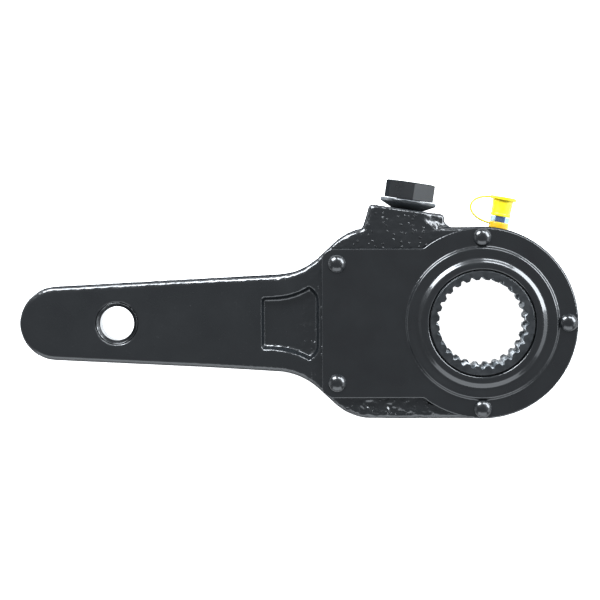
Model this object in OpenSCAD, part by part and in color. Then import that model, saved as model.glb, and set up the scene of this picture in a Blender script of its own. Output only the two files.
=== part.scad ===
// Manual brake slack adjuster.
// The spline's centre is the origin, Z runs along the spline and the arm lies along -X.

/* [Arm] */
// Distance from the spline's centre to the clevis hole
arm_length = 152.4; // [140:0.1:170]
// Radius of the arm's rounded end
arm_end_r = 15.4; // [14:0.1:17]
// Distance from the clevis hole to the centre of the rounded end
arm_end_offset = 25.5; // [20:0.1:30]
// Angle between the centre line and each edge of the arm
arm_taper = 2.83; // [2:0.01:3.5]
// Thickness of the arm at the clevis hole
arm_thickness = 13; // [11:0.1:16]
// Length over which the arm thickens towards the head
arm_growth = 56; // [45:1:65]
// Radius of the forged edges
edge_r = 2.2; // [1:0.1:2.6]
// Outer radius of the clevis bush
bush_outer_r = 8.75; // [8.3:0.05:10]
// Inner radius of the clevis bush
bush_inner_r = 7.1; // [6.3:0.05:7.2]
// Size of the countersink at each end of the bush
bush_sink = 1.4; // [1:0.1:1.5]

/* [Head] */
// Metal between the gear's chamber and the head's round edge
head_wall = 9.1; // [8.5:0.1:10.5]
// Thickness of the head between the covers
head_thickness = 29; // [28:0.1:33]
// Distance from the spline's centre to the start of the shoulder
shoulder_x = 45.3; // [44:0.5:50]
// Slope of the shoulder
shoulder_angle = 43; // [38:1:47]
// Radius of the shoulder's rounded corner
shoulder_r = 23.1; // [21:0.5:25]
// Radius of the fillet between shoulder and arm
fillet_r = 27; // [24:0.5:29]
// Depth of the pocket in each side of the arm's root
pocket_depth = 3; // [2:0.1:4]
// Width of metal left between the pocket and the arm's edge
pocket_margin = 9; // [8:0.1:10]
// Length of the pocket
pocket_length = 23; // [18:0.5:24]
// Width of the pocket's sloping wall
pocket_slope = 1.2; // [1:0.1:2.5]

/* [Covers] */
// Thickness of the cover sheet
cover_t = 2.5; // [2:0.1:3]
// Distance from the head's edge to the cover's edge
cover_inset = 0.5; // [0.3:0.1:1]
// Half width of the cover over the block
cover_half_w = 30.9; // [30:0.1:33]
// Metal between the worm's bore and the corner rivets
bore_wall = 4; // [3:0.1:4.5]
// Radius of the cover's corners
cover_corner_r = 5; // [3:0.5:7]
// Height of the raised step round the bore
step_h = 1.2; // [0.8:0.1:1.6]
// Radius of the raised step
step_r = 31.4; // [31:0.1:33]
// Height of the lip above the cover
lip_h = 2.15; // [2.1:0.05:2.6]
// Radius of the lip's crest
lip_r = 24.2; // [23.9:0.1:24.6]
// Radius of the crease outside the lip
crease_r = 27.2; // [26.8:0.1:27.6]
// Radius of a rivet's shank
rivet_r = 2; // [1.6:0.1:2.3]
// Radius of a rivet's head
rivet_head_r = 3.9; // [3.4:0.1:4.2]
// Distance from the head's edge to the rivets' centres
rivet_edge = 4.4; // [4:0.1:4.8]
// Distance from the cover's straight edges to the corner rivets' centres
rivet_corner_edge = 6.25; // [5.5:0.05:7]

/* [Gear and worm] */
// Number of teeth on the worm gear
gear_teeth = 22; // [22:1:22]
// Axial module of the teeth
gear_module = 2.54; // [2.5:0.02:2.64]
// Pitch radius of the worm
worm_pitch_r = 9.5; // [9.3:0.05:9.6]
// Pressure angle
pressure_angle = 20; // [18:0.5:22]
// Play between the worm's thread and the gear's teeth
backlash = 0.4; // [0.3:0.05:0.6]
// Width of the gear's toothed rim
rim_w = 24; // [22:0.5:25]
// Radius of the gear's hub
hub_r = 22; // [21.6:0.05:22.4]
// Length of the gear's hub
hub_length = 38.1; // [37.6:0.1:38.4]
// Radius of the thrust collars beside the rim
thrust_collar_r = 27; // [26.5:0.1:27.4]
// Number of spline teeth
spline_teeth = 28; // [24:1:30]
// Radius at the bottom of the spline's grooves
spline_major_r = 19.05; // [18.8:0.05:19.2]
// Radius at the crests of the spline's teeth
spline_minor_r = 17.8; // [17.4:0.05:18]
// Length of the worm
worm_length = 34; // [30:0.5:35]
// Tilt of the worm's axis away from the head
worm_tilt = 8.5; // [7:0.1:10]

/* [Worm shaft] */
// Radius of the worm shaft
shaft_r = 5; // [4.6:0.05:5.2]
// Width across flats of the hexagon
hex_af = 19; // [17:0.5:20]
// Height of the hexagon
hex_h = 7.25; // [6:0.25:9]
// Turn of the hexagon about its shaft
hex_turn = 9; // [0:1:59]
// Slope of the bevel on top of the hexagon
hex_bevel = 15; // [10:1:30]
// Thickness of each thrust washer
washer_t = 1.6; // [1.2:0.1:2]
// Length of the upper shaft bush
upper_bush_h = 6; // [4:0.5:6.5]
// Room between the lower shaft bush and the plug
bush_room = 3; // [2.5:0.1:4]
// Radius of the bore in the boss
neck_r = 7; // [6.8:0.05:7.4]
// Distance from the gear's centre line to the top of the boss
boss_top = 41.9; // [41:0.05:43]
// Half width of the boss at its top
boss_half_w = 15.6; // [14.5:0.1:16.5]
// Thickness of the plug that closes the worm's bore
plug_t = 2; // [1.5:0.1:2.5]
// Depth of the plug below the body's edge
plug_sink = 5; // [4.5:0.1:6]

/* [Lock collar] */
// Radius of the collar's flange
collar_r = 11.7; // [11:0.1:12]
// Thickness of the collar's rim
collar_rim_t = 1.4; // [1:0.05:1.6]
// Height of the collar's cone
collar_cone_h = 2.5; // [2.2:0.05:2.8]
// Depth of the collar's sleeve in the boss
sleeve_depth = 6; // [5:0.1:6.5]
// Distance across the two flats that stop the collar turning
sleeve_flats = 11.8; // [11.4:0.1:12.2]
// Travel of the collar when it is pressed
collar_travel = 1.4; // [1:0.1:1.4]
// Diameter of the lock spring's wire
spring_wire = 1.1; // [0.9:0.05:1.2]
// Coils of the lock spring
spring_coils = 4; // [3:0.5:4]

/* [Grease nipple] */
// Angle of the nipple from the direction across the arm
nipple_angle = 10.5; // [8.5:0.5:12]
// Radius of the nipple's thread
nipple_r = 3; // [2.8:0.05:3.2]
// Width across flats of the nipple's hexagon
nipple_af = 7; // [6.5:0.1:7.5]
// Height of the nipple's hexagon
nipple_hex_h = 2.2; // [1.8:0.1:2.6]
// Radius of the nipple's neck
nipple_neck_r = 2.4; // [2.2:0.05:2.6]
// Radius of the nipple's head
nipple_head_r = 3.25; // [3:0.05:3.4]
// Height of the nipple above its hexagon
nipple_h = 6.6; // [6.4:0.1:6.8]
// Radius of the check ball
ball_r = 1.2; // [1.1:0.05:1.3]
// Travel of the check ball
ball_travel = 0.8; // [0.5:0.1:1]
// Outer radius of the cap's retaining ring
cap_ring_r = 4.15; // [3.9:0.05:4.4]
// Height of the cap's retaining ring
cap_ring_h = 3; // [2.6:0.1:3.4]
// Outer radius of the dust cap
cap_r = 4.3; // [4.2:0.05:4.6]
// Height of the dust cap
cap_h = 8.2; // [7.6:0.1:9]
// Radius of the flange on top of the dust cap
cap_flange_r = 5.5; // [5:0.1:6]
// Thickness of that flange
cap_flange_t = 1.3; // [1:0.1:1.6]
// Width of the strap between cap and ring
strap_w = 3; // [2:0.1:4]
// Thickness of the strap
strap_t = 0.9; // [0.5:0.05:1]

/* [Clearances] */
// Radial play of a journal in its bearing
journal_play = 0.1; // [0.05:0.01:0.1]
// Gap between pieces that pass each other
running_gap = 0.3; // [0.25:0.05:0.4]
// Gap between the collar's flange and the shaft
flange_gap = 1; // [0.8:0.1:1.2]
// Gap between the gear's or worm's crests and the housing
crest_gap = 0.45; // [0.35:0.05:0.6]

/* [Hidden] */
$fn = 96;
eps = 0.01;
far = 200;
// How far a cut runs past the solid that it cuts.
over = 1;

black_paint = "#2e3032";
dark_steel = "#5a5e61";
bare_steel = "#b9bcbf";
bronze = "#a9813f";
zinc = "#8fa3c4";
yellow = "#f6e23a";
dark_rubber = "#1c1c1c";

// Worm drive.
gear_pitch_r = gear_teeth * gear_module / 2;
worm_distance = gear_pitch_r + worm_pitch_r;
addendum_share = 0.9;
dedendum_share = 1.1;
addendum = addendum_share * gear_module;
dedendum = dedendum_share * gear_module;
gear_tip_r = gear_pitch_r + addendum;
gear_root_r = gear_pitch_r - dedendum;
gear_base_r = gear_pitch_r * cos(pressure_angle);
worm_tip_r = worm_pitch_r + addendum;
worm_root_r = worm_pitch_r - dedendum;
lead = PI * gear_module;
lead_angle = atan(lead / (2 * PI * worm_pitch_r));
mesh_angle = 180 - worm_tilt;
cavity_r = gear_tip_r + crest_gap;
chamber_r = worm_tip_r + crest_gap;
worm_foot = worm_distance * [cos(mesh_angle), sin(mesh_angle)];
head_r = cavity_r + head_wall;

// Corner rivets, clear of the worm's bore, and the cover's end beyond them.
rivet_corner_y = cover_half_w - rivet_corner_edge;
rivet_bore_gap = chamber_r + bore_wall + rivet_r;
rivet_corner_x = worm_foot[0]
    - (rivet_bore_gap + (rivet_corner_y + worm_foot[1]) * sin(worm_tilt)) / cos(worm_tilt);
cover_reach = rivet_corner_edge - rivet_corner_x;

// Plan of the body: the arm's straight edge, the fillet and the shoulder, as [x, half width].
body_inset = 0.2;
block_half_w = head_r - body_inset;
arm_end_x = -arm_length - arm_end_offset;
edge_start = [arm_end_x - arm_end_r * sin(arm_taper), arm_end_r * cos(arm_taper)];
shoulder_c = [-shoulder_x, block_half_w - shoulder_r];
shoulder_p = shoulder_c + shoulder_r * [-sin(shoulder_angle), cos(shoulder_angle)];
edge_gap = edge_start[1] - shoulder_p[1] - tan(arm_taper) * edge_start[0]
    + tan(shoulder_angle) * shoulder_p[0];
corner_x = edge_gap / (tan(shoulder_angle) - tan(arm_taper));
corner = [corner_x, edge_start[1] + tan(arm_taper) * (corner_x - edge_start[0])];
fillet_run = fillet_r * tan((shoulder_angle - arm_taper) / 2);
fillet_p = corner - fillet_run * [cos(arm_taper), sin(arm_taper)];
fillet_c = fillet_p + fillet_r * [-sin(arm_taper), cos(arm_taper)];

// Thickness of the body along the arm.
cover_margin = 1.2;
growth_end = -cover_reach - cover_margin;
growth_start = growth_end - arm_growth;
function ease(u) = let (v = min(1, max(0, u))) v * v * (3 - 2 * v);
function half_thickness(x) =
    (arm_thickness + (head_thickness - arm_thickness) * ease((x - growth_start) / arm_growth)) / 2;

// Stations along the worm's axis, measured from the gear's centre line.
worm_end = worm_length / 2;
chamber_top = worm_end + running_gap + washer_t;
upper_bush_top = chamber_top + upper_bush_h;
seal_wire_r = (neck_r - shaft_r - journal_play) / 2;
seal_top = upper_bush_top + 2 * seal_wire_r;
seat_t = 1;
seat_top = seal_top + seat_t;
sleeve_r = neck_r - running_gap;
sleeve_bottom = boss_top - sleeve_depth;
collar_bottom = boss_top + journal_play;
collar_top = collar_bottom + collar_cone_h + collar_rim_t;
hex_bottom = collar_top + running_gap;
plug_depth = (block_half_w + worm_foot[1]) / cos(worm_tilt) - plug_sink;
lower_bush_h = plug_depth - plug_t - bush_room - chamber_top;
shaft_relief = 1;
shaft_bottom = -chamber_top - lower_bush_h + shaft_relief;

// Stations along the nipple's axis, measured from the spline's centre.
spot_gap = 0.6;
spot_r = cap_ring_r + spot_gap;
nipple_seat = head_r - spot_gap;
nipple_foot_gap = 1;
nipple_foot = cavity_r + nipple_foot_gap;
cap_ring_top = nipple_seat + cap_ring_h;
nipple_hex_top = cap_ring_top + nipple_hex_h;
nipple_top = nipple_hex_top + nipple_h;
cap_bottom = nipple_hex_top + running_gap;
cap_top = cap_bottom + cap_h;
mouth_r = 0.9;
ball_play = 0.15;
ball_bore_r = ball_r + ball_play;
mouth_t = 0.8;
ball_roof = nipple_top - mouth_t;
ball_s = ball_roof - sqrt(ball_r * ball_r - mouth_r * mouth_r) - ball_play;
valve_wire = 0.24;
valve_coils = 4;
valve_spare_coils = 2;
valve_floor = ball_s - ball_r - ball_travel - (valve_coils + valve_spare_coils) * valve_wire;
duct_r = 0.8;

// Covers.
face_z = head_thickness / 2;
cover_z = face_z + cover_t;
bore_r = hub_r + journal_play;
lip_top_z = cover_z + lip_h;
seal_wall = 2.8;
seal_outer_r = bore_r + seal_wall;
seal_rise = 0.1;
seal_roof_z = cover_z + seal_rise;
rivet_ring_r = head_r - rivet_edge;
rivet_places = [[0, rivet_ring_r], [rivet_ring_r, 0], [0, -rivet_ring_r],
    [rivet_corner_x, rivet_corner_y], [rivet_corner_x, -rivet_corner_y]];
rivet_dome_r = (rivet_head_r * rivet_head_r + lip_h * lip_h) / (2 * lip_h);

// Corners of a rectangle with rounded corners, counter-clockwise.
corner_steps = 4;
function rounded_box(w, d, r) = [
    for (q = [0:3], k = [0:corner_steps])
        let (a = 90 * q + 90 * k / corner_steps)
        let (sx = (q == 0 || q == 3) ? 1 : -1)
        let (sy = q < 2 ? 1 : -1)
        [sx * (w - r) + r * cos(a), sy * (d - r) + r * sin(a)]];

// Points along an arc.
function arc(centre, r, from, to, steps) = [
    for (k = [0:steps])
        let (a = from + (to - from) * k / steps)
        centre + r * [cos(a), sin(a)]];

// A closed solid through a list of rings that all have as many points.
module loft(rings) {
    n = len(rings[0]);
    last = len(rings) - 1;
    sides = [
        for (i = [0:last - 1], j = [0:n - 1])
            let (k = (j + 1) % n)
            each [[i * n + j, (i + 1) * n + j, (i + 1) * n + k], [i * n + j, (i + 1) * n + k, i * n + k]]];
    first_cap = [for (j = [0:n - 1]) j];
    last_cap = [for (j = [n - 1:-1:0]) last * n + j];
    polyhedron([for (ring = rings) each ring], concat([first_cap], sides, [last_cap]));
}

// A strand that winds round Z: section points are [along Z, radius], counter-clockwise.
module helix(section, pitch, start, turns, steps) {
    loft([
        for (i = [0:ceil(turns * steps)])
            let (a = start + 360 * i / steps)
            [for (p = section) [p[1] * cos(a), p[1] * sin(a), p[0] + pitch * a / 360]]]);
}

module on_worm_axis() {
    translate([worm_foot[0], worm_foot[1], 0])
        rotate([0, 0, -worm_tilt])
            rotate([-90, 0, 0])
                children();
}

module on_nipple_axis() {
    rotate([0, 0, -nipple_angle])
        rotate([-90, 0, 0])
            children();
}

module tube(outer, inner, from, to) {
    difference() {
        translate([0, 0, from])
            cylinder(r = outer, h = to - from);
        translate([0, 0, from - over])
            cylinder(r = inner, h = to - from + 2 * over);
    }
}

// Body

end_steps = 9;
bend_steps = 8;
growth_steps = 7;
tip_angle = 6;
plan = concat(
    [for (k = [0:end_steps])
        let (a = tip_angle + (90 - tip_angle - arm_taper) * k / end_steps)
        [arm_end_x - arm_end_r * cos(a), arm_end_r * sin(a)]],
    [for (k = [0:growth_steps - 1])
        let (x = growth_start + (fillet_p[0] - growth_start) * k / growth_steps)
        [x, edge_start[1] + tan(arm_taper) * (x - edge_start[0])]],
    [for (k = [0:bend_steps])
        let (a = arm_taper + (shoulder_angle - arm_taper) * k / bend_steps)
        fillet_c + fillet_r * [sin(a), -cos(a)]],
    [for (k = [0:bend_steps])
        let (a = shoulder_angle * (1 - k / bend_steps))
        shoulder_c + shoulder_r * [-sin(a), cos(a)]],
    [[-over, block_half_w]]);

module forged_body() {
    round_share = 0.9;
    loft([
        for (p = plan)
            let (t = half_thickness(p[0]))
            [for (q = rounded_box(p[1], t, min(edge_r, round_share * p[1]))) [p[0], q[0], q[1]]]]);
}

module round_head() {
    flat = head_r - edge_r;
    high = face_z - edge_r;
    rotate_extrude()
        union() {
            translate([0, -face_z])
                square([flat, head_thickness]);
            translate([0, -high])
                square([head_r, 2 * high]);
            for (z = [-high, high])
                translate([flat, z])
                    circle(r = edge_r, $fn = 48);
        }
}

// The boss is flush with the head's faces, bevelled on the head's side and flared into it.
module boss() {
    foot = 24;
    foot_right = 24;
    flare_h = 5.6;
    flare_right = 20;
    neck_h = 3.2;
    crown = 0.8;
    lean = 0.15;
    bevel_w = 9.2;
    bevel_d = 3;
    corner_r = 2;
    depth = face_z - body_inset;
    rings = [
        [foot, foot_right, depth],
        [boss_top - flare_h, flare_right, depth],
        [boss_top - neck_h, boss_half_w + lean * neck_h, depth],
        [boss_top - crown, boss_half_w, depth],
        [boss_top, boss_half_w - crown, depth - crown]];
    on_worm_axis()
        loft([
            for (p = rings)
                let (left = boss_half_w + lean * (boss_top - p[0]) + p[2] - depth)
                let (inner = [corner_r - left, p[2] - corner_r])
                [for (q = concat(
                    [[p[1], bevel_d - p[2]], [p[1], p[2] - bevel_d], [p[1] - bevel_w, p[2]]],
                    arc(inner, corner_r, 90, 180, corner_steps),
                    arc([inner[0], -inner[1]], corner_r, 180, 270, corner_steps),
                    [[p[1] - bevel_w, -p[2]]])) [q[0], q[1], p[0]]]]);
}

// The pocket keeps a margin from the edge of the arm, and its floor slopes with the arm's face.
pocket_x1 = -cover_reach - cover_margin;
pocket_x0 = pocket_x1 - pocket_length;
pocket_steps = 6;
function edge_at(x) = x < fillet_p[0]
    ? edge_start[1] + tan(arm_taper) * (x - edge_start[0])
    : fillet_c[1] - sqrt(max(0, fillet_r * fillet_r - (x - fillet_c[0]) * (x - fillet_c[0])));
pocket_round = 4;
pocket_top_x = pocket_x1 - pocket_round;
pocket_z0 = half_thickness(pocket_x0);
pocket_z1 = half_thickness(pocket_x1);
function pocket_plane(x) = pocket_z0 + (pocket_z1 - pocket_z0) * (x - pocket_x0) / (pocket_x1 - pocket_x0);
function pocket_edge(grow) = concat(
    [for (k = [0:pocket_steps])
        let (x = pocket_x0 + (pocket_top_x - pocket_x0) * k / pocket_steps)
        [x - grow * (k == 0 ? 1 : 0), edge_at(x) - pocket_margin - pocket_slope + grow]],
    [for (a = [60, 30, 0])
        let (y = edge_at(pocket_top_x) - pocket_margin - pocket_slope - pocket_round)
        [pocket_top_x, y] + (pocket_round - pocket_slope + grow) * [cos(a), sin(a)]]);
function pocket_ring(grow, lift) =
    let (upper = pocket_edge(grow))
    let (lower = [for (k = [len(upper) - 1:-1:0]) [upper[k][0], -upper[k][1]]])
    let (both = concat(upper, lower))
    [for (k = [len(both) - 1:-1:0]) [both[k][0], both[k][1], pocket_plane(both[k][0]) + lift]];

module pocket() {
    rise = 3;
    loft([
        pocket_ring(0, -pocket_depth),
        pocket_ring(pocket_slope, 0),
        pocket_ring(pocket_slope * (1 + rise / pocket_depth), rise)]);
}

module worm_bore() {
    mouth = collar_bottom - collar_travel - 2 * running_gap;
    cone = (collar_r - sleeve_r) / collar_cone_h;
    mouth_h = 4;
    on_worm_axis() {
        translate([0, 0, -far])
            cylinder(r = chamber_r, h = far + chamber_top);
        translate([0, 0, chamber_top - over])
            cylinder(r = neck_r, h = sleeve_bottom - chamber_top + over);
        intersection() {
            cylinder(r = neck_r, h = boss_top + over);
            translate([-sleeve_flats / 2 - running_gap, -neck_r, 0])
                cube([sleeve_flats + 2 * running_gap, 2 * neck_r, boss_top + over]);
        }
        translate([0, 0, mouth])
            cylinder(r1 = neck_r, r2 = neck_r + cone * mouth_h, h = mouth_h);
    }
}

module nipple_hole() {
    on_nipple_axis() {
        cylinder(r = nipple_r, h = far);
        translate([0, 0, nipple_seat])
            cylinder(r = spot_r, h = far);
    }
}

module rivet_holes() {
    for (p = rivet_places)
        translate([p[0], p[1], -far / 2])
            cylinder(r = rivet_r, h = far);
}

module housing() {
    color(black_paint)
        difference() {
            union() {
                forged_body();
                round_head();
                boss();
            }
            translate([0, 0, -far / 2])
                cylinder(r = cavity_r, h = far);
            worm_bore();
            nipple_hole();
            rivet_holes();
            translate([-arm_length, 0, -far / 2])
                cylinder(r = bush_outer_r, h = far);
            pocket();
            mirror([0, 0, 1])
                pocket();
        }
}

module clevis_bush() {
    color(bare_steel)
        translate([-arm_length, 0, 0])
            difference() {
                tube(bush_outer_r, bush_inner_r, -arm_thickness / 2, arm_thickness / 2);
                for (side = [0, 1])
                    mirror([0, 0, side])
                        translate([0, 0, arm_thickness / 2 - bush_sink])
                            cylinder(r1 = bush_inner_r, r2 = bush_inner_r + 2 * bush_sink, h = 2 * bush_sink);
            }
}

// Covers

module cover_outline() {
    inner = cover_half_w - cover_corner_r;
    union() {
        circle(r = head_r - cover_inset);
        translate([-cover_reach + cover_corner_r, -cover_half_w])
            square([cover_reach - cover_corner_r, 2 * cover_half_w]);
        translate([-cover_reach, -inner])
            square([cover_reach, 2 * inner]);
        for (y = [-inner, inner])
            translate([-cover_reach + cover_corner_r, y])
                circle(r = cover_corner_r);
    }
}

// Section of the pressed ring round the bore, as [radius, height above the housing].
ring_outer_r = step_r + 1;
recess_r = step_r - 1.8;
recess_slope = 0.5;
step_z = cover_t + step_h;
lip_z = cover_t + lip_h;
lip_inner_r = 0.6;
lip_round_r = 2;
crease_round_r = 1.2;
crease_depth = 0.45;
step_round_r = 1.1;
round_steps = 5;
lip_fall = 35;
ring_section = concat(
    [[bore_r, cover_t + seal_rise]],
    arc([bore_r + lip_inner_r, lip_z - lip_inner_r], lip_inner_r, 180, 90, round_steps),
    arc([lip_r, lip_z - lip_round_r], lip_round_r, 90, 90 - lip_fall, round_steps),
    arc([crease_r, step_z - crease_depth + crease_round_r], crease_round_r, 270 - lip_fall, 270 + lip_fall / 2, round_steps),
    arc([step_r - step_round_r, step_z - step_round_r], step_round_r, 90, 0, round_steps),
    [[step_r, cover_t - eps], [ring_outer_r, cover_t - eps], [ring_outer_r, 0], [recess_r + recess_slope, 0],
        [recess_r, step_h], [seal_outer_r, step_h], [seal_outer_r, cover_t + seal_rise]]);

module cover() {
    difference() {
        translate([0, 0, face_z])
            union() {
                difference() {
                    linear_extrude(cover_t)
                        cover_outline();
                    translate([0, 0, -over])
                        cylinder(r = ring_outer_r - eps, h = cover_t + 2 * over);
                }
                rotate_extrude()
                    polygon(ring_section);
            }
        rivet_holes();
    }
}

module front_cover() {
    color(black_paint)
        cover();
}

module rear_cover() {
    color(black_paint)
        mirror([0, 0, 1])
            cover();
}

module rivet() {
    cylinder(r = rivet_r, h = 2 * cover_z, center = true);
    for (side = [0, 1])
        mirror([0, 0, side])
            translate([0, 0, cover_z])
                intersection() {
                    translate([0, 0, lip_h - rivet_dome_r])
                        sphere(r = rivet_dome_r);
                    cylinder(r = rivet_head_r + over, h = lip_h + over);
                }
}

module cover_rivets() {
    color(dark_steel)
        for (p = rivet_places)
            translate([p[0], p[1], 0])
                rivet();
}

module gear_seal() {
    tube(seal_outer_r, bore_r, face_z + step_h, seal_roof_z);
}

module front_gear_seal() {
    color(dark_rubber)
        gear_seal();
}

module rear_gear_seal() {
    color(dark_rubber)
        mirror([0, 0, 1])
            gear_seal();
}

// Worm gear

function involute(a) = tan(a) * 180 / PI - a;
function space_angle(r) =
    90 / gear_teeth + backlash / 2 / gear_pitch_r * 180 / PI
    - involute(pressure_angle) + involute(acos(min(1, gear_base_r / r)));
flank_steps = 5;
flank_radii = concat(
    [gear_root_r],
    [for (k = [0:flank_steps]) gear_base_r + (gear_tip_r - gear_base_r) * k / flank_steps],
    [gear_tip_r + over]);
function flank(side) = [
    for (r = flank_radii)
        [r * cos(space_angle(r)), side * r * sin(space_angle(r)) * cos(lead_angle)]];
space_section = concat(flank(-1), [for (k = [len(flank_radii) - 1:-1:0]) flank(1)[k]]);

module tooth_space() {
    rotate([-lead_angle, 0, 0])
        linear_extrude(2 * rim_w, center = true)
            polygon(space_section);
}

module toothed_rim() {
    difference() {
        cylinder(r = gear_tip_r, h = rim_w, center = true);
        for (k = [0:gear_teeth - 1])
            rotate([0, 0, mesh_angle + 360 * k / gear_teeth])
                tooth_space();
    }
}

groove_foot = 1.23;
groove_top = 0.4;
groove_slope = (groove_foot - groove_top) / (spline_major_r - spline_minor_r);
module spline_bore() {
    inner_half_w = groove_foot + over * groove_slope;
    cylinder(r = spline_minor_r, h = far, center = true);
    for (k = [0:spline_teeth - 1])
        rotate([0, 0, 360 * k / spline_teeth])
            linear_extrude(far, center = true)
                polygon([
                    [spline_minor_r - over, -inner_half_w], [spline_major_r, -groove_top],
                    [spline_major_r, groove_top], [spline_minor_r - over, inner_half_w]]);
}

module worm_gear() {
    collar_z = face_z + step_h - running_gap;
    bevel = 0.8;
    color(dark_steel)
        difference() {
            union() {
                toothed_rim();
                cylinder(r = hub_r, h = hub_length - 2 * bevel, center = true);
                for (side = [0, 1])
                    mirror([0, 0, side]) {
                        translate([0, 0, rim_w / 2])
                            cylinder(r = thrust_collar_r, h = collar_z - rim_w / 2);
                        translate([0, 0, hub_length / 2 - bevel])
                            cylinder(r1 = hub_r, r2 = hub_r - bevel, h = bevel);
                    }
            }
            spline_bore();
        }
}

// Worm and shaft

function thread_half(r) = lead / 4 - (r - worm_pitch_r) * tan(pressure_angle);
thread_sink = 0.3;
thread_foot_r = worm_root_r - thread_sink;
thread_section = [
    [-thread_half(thread_foot_r), thread_foot_r], [thread_half(thread_foot_r), thread_foot_r],
    [thread_half(worm_tip_r), worm_tip_r], [-thread_half(worm_tip_r), worm_tip_r]];
thread_steps = 30;
thread_turns = 2 * ceil(worm_end / lead + thread_sink);

module worm() {
    color(dark_steel)
        on_worm_axis()
            difference() {
                union() {
                    intersection() {
                        helix(thread_section, lead, -180 * thread_turns, thread_turns, thread_steps);
                        cylinder(r = worm_tip_r + over, h = worm_length, center = true);
                    }
                    cylinder(r = worm_root_r, h = worm_length, center = true);
                }
                cylinder(r = shaft_r, h = far, center = true);
            }
}

module worm_shaft() {
    color(black_paint)
        on_worm_axis()
            translate([0, 0, shaft_bottom])
                cylinder(r = shaft_r, h = hex_bottom - shaft_bottom);
}

module hex_head() {
    hex_r = hex_af / sqrt(3);
    bevel_h = (hex_r - hex_af / 2) * tan(hex_bevel);
    color(black_paint)
        on_worm_axis()
            translate([0, 0, hex_bottom])
                intersection() {
                    rotate([0, 0, 30 + hex_turn])
                        cylinder(r = hex_r, h = hex_h, $fn = 6);
                    union() {
                        cylinder(r = hex_r + over, h = hex_h - bevel_h);
                        translate([0, 0, hex_h - bevel_h - eps])
                            cylinder(r1 = hex_r, r2 = hex_af / 2, h = bevel_h + eps);
                    }
                }
}

module upper_shaft_bush() {
    color(bronze)
        on_worm_axis()
            tube(neck_r, shaft_r + journal_play, chamber_top, upper_bush_top);
}

module lower_shaft_bush() {
    color(bronze)
        on_worm_axis()
            tube(chamber_r, shaft_r + journal_play, -chamber_top - lower_bush_h, -chamber_top);
}

module thrust_washer() {
    tube(chamber_r - crest_gap, shaft_r + running_gap, chamber_top - washer_t, chamber_top);
}

module upper_thrust_washer() {
    color(bare_steel)
        on_worm_axis()
            thrust_washer();
}

module lower_thrust_washer() {
    color(bare_steel)
        on_worm_axis()
            mirror([0, 0, 1])
                thrust_washer();
}

module shaft_seal() {
    color(dark_rubber)
        on_worm_axis()
            translate([0, 0, upper_bush_top + seal_wire_r])
                rotate_extrude()
                    translate([neck_r - seal_wire_r, 0])
                        circle(r = seal_wire_r, $fn = 32);
}

module welch_plug() {
    dish = 1;
    flat_share = 0.6;
    flat_r = flat_share * chamber_r;
    flat_z = -flat_share * dish;
    color(dark_steel)
        on_worm_axis()
            translate([0, 0, -plug_depth])
                rotate_extrude()
                    polygon([
                        [0, -dish], [flat_r, flat_z], [chamber_r, 0],
                        [chamber_r, plug_t], [flat_r, plug_t + flat_z], [0, plug_t - dish]]);
}

// Lock collar

module lock_collar() {
    color(black_paint)
        on_worm_axis()
            difference() {
                union() {
                    translate([0, 0, collar_bottom])
                        cylinder(r1 = sleeve_r, r2 = collar_r, h = collar_cone_h);
                    translate([0, 0, collar_bottom + collar_cone_h])
                        cylinder(r = collar_r, h = collar_rim_t);
                }
                cylinder(r = shaft_r + flange_gap, h = far);
            }
}

module collar_sleeve() {
    color(black_paint)
        on_worm_axis()
            intersection() {
                tube(sleeve_r, shaft_r + journal_play, sleeve_bottom, collar_bottom);
                translate([-sleeve_flats / 2, -neck_r, 0])
                    cube([sleeve_flats, 2 * neck_r, far]);
            }
}

module spring_seat() {
    color(bare_steel)
        on_worm_axis()
            tube(neck_r, shaft_r + running_gap, seal_top, seat_top);
}

function ring_points(centre_r, r, sides) = [
    for (k = [0:sides - 1])
        let (a = 360 * k / sides)
        [r * cos(a), centre_r + r * sin(a)]];

module lock_spring() {
    room = sleeve_bottom - seat_top;
    pitch = (room - spring_wire) / spring_coils;
    coil_r = (neck_r + shaft_r + journal_play) / 2;
    wire_sides = 8;
    coil_steps = 20;
    color(bare_steel)
        on_worm_axis()
            translate([0, 0, seat_top + spring_wire / 2])
                helix(ring_points(coil_r, spring_wire / 2, wire_sides), pitch, 0, spring_coils, coil_steps);
}

// Grease nipple

nipple_taper = 1.5;
head_h = 4.6;
neck_top = nipple_top - head_h;
hex_core_r = nipple_af / 2 - ball_play;
tip_r = mouth_r + mouth_t;
nipple_section = [
    [0, nipple_foot], [nipple_r, nipple_foot], [nipple_r, cap_ring_top],
    [hex_core_r, cap_ring_top], [hex_core_r, nipple_hex_top],
    [nipple_neck_r, nipple_hex_top], [nipple_neck_r, neck_top],
    [nipple_head_r, neck_top + nipple_taper], [nipple_head_r, nipple_top - nipple_taper],
    [tip_r, nipple_top], [0, nipple_top]];

module grease_nipple() {
    color(zinc)
        on_nipple_axis()
            difference() {
                union() {
                    rotate_extrude()
                        polygon(nipple_section);
                    translate([0, 0, cap_ring_top])
                        cylinder(r = nipple_af / sqrt(3), h = nipple_hex_h, $fn = 6);
                }
                cylinder(r = duct_r, h = far);
                cylinder(r = mouth_r, h = far);
                translate([0, 0, valve_floor])
                    cylinder(r = ball_bore_r, h = ball_roof - valve_floor);
            }
}

module nipple_ball() {
    color(bare_steel)
        on_nipple_axis()
            translate([0, 0, ball_s])
                sphere(r = ball_r);
}

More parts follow.
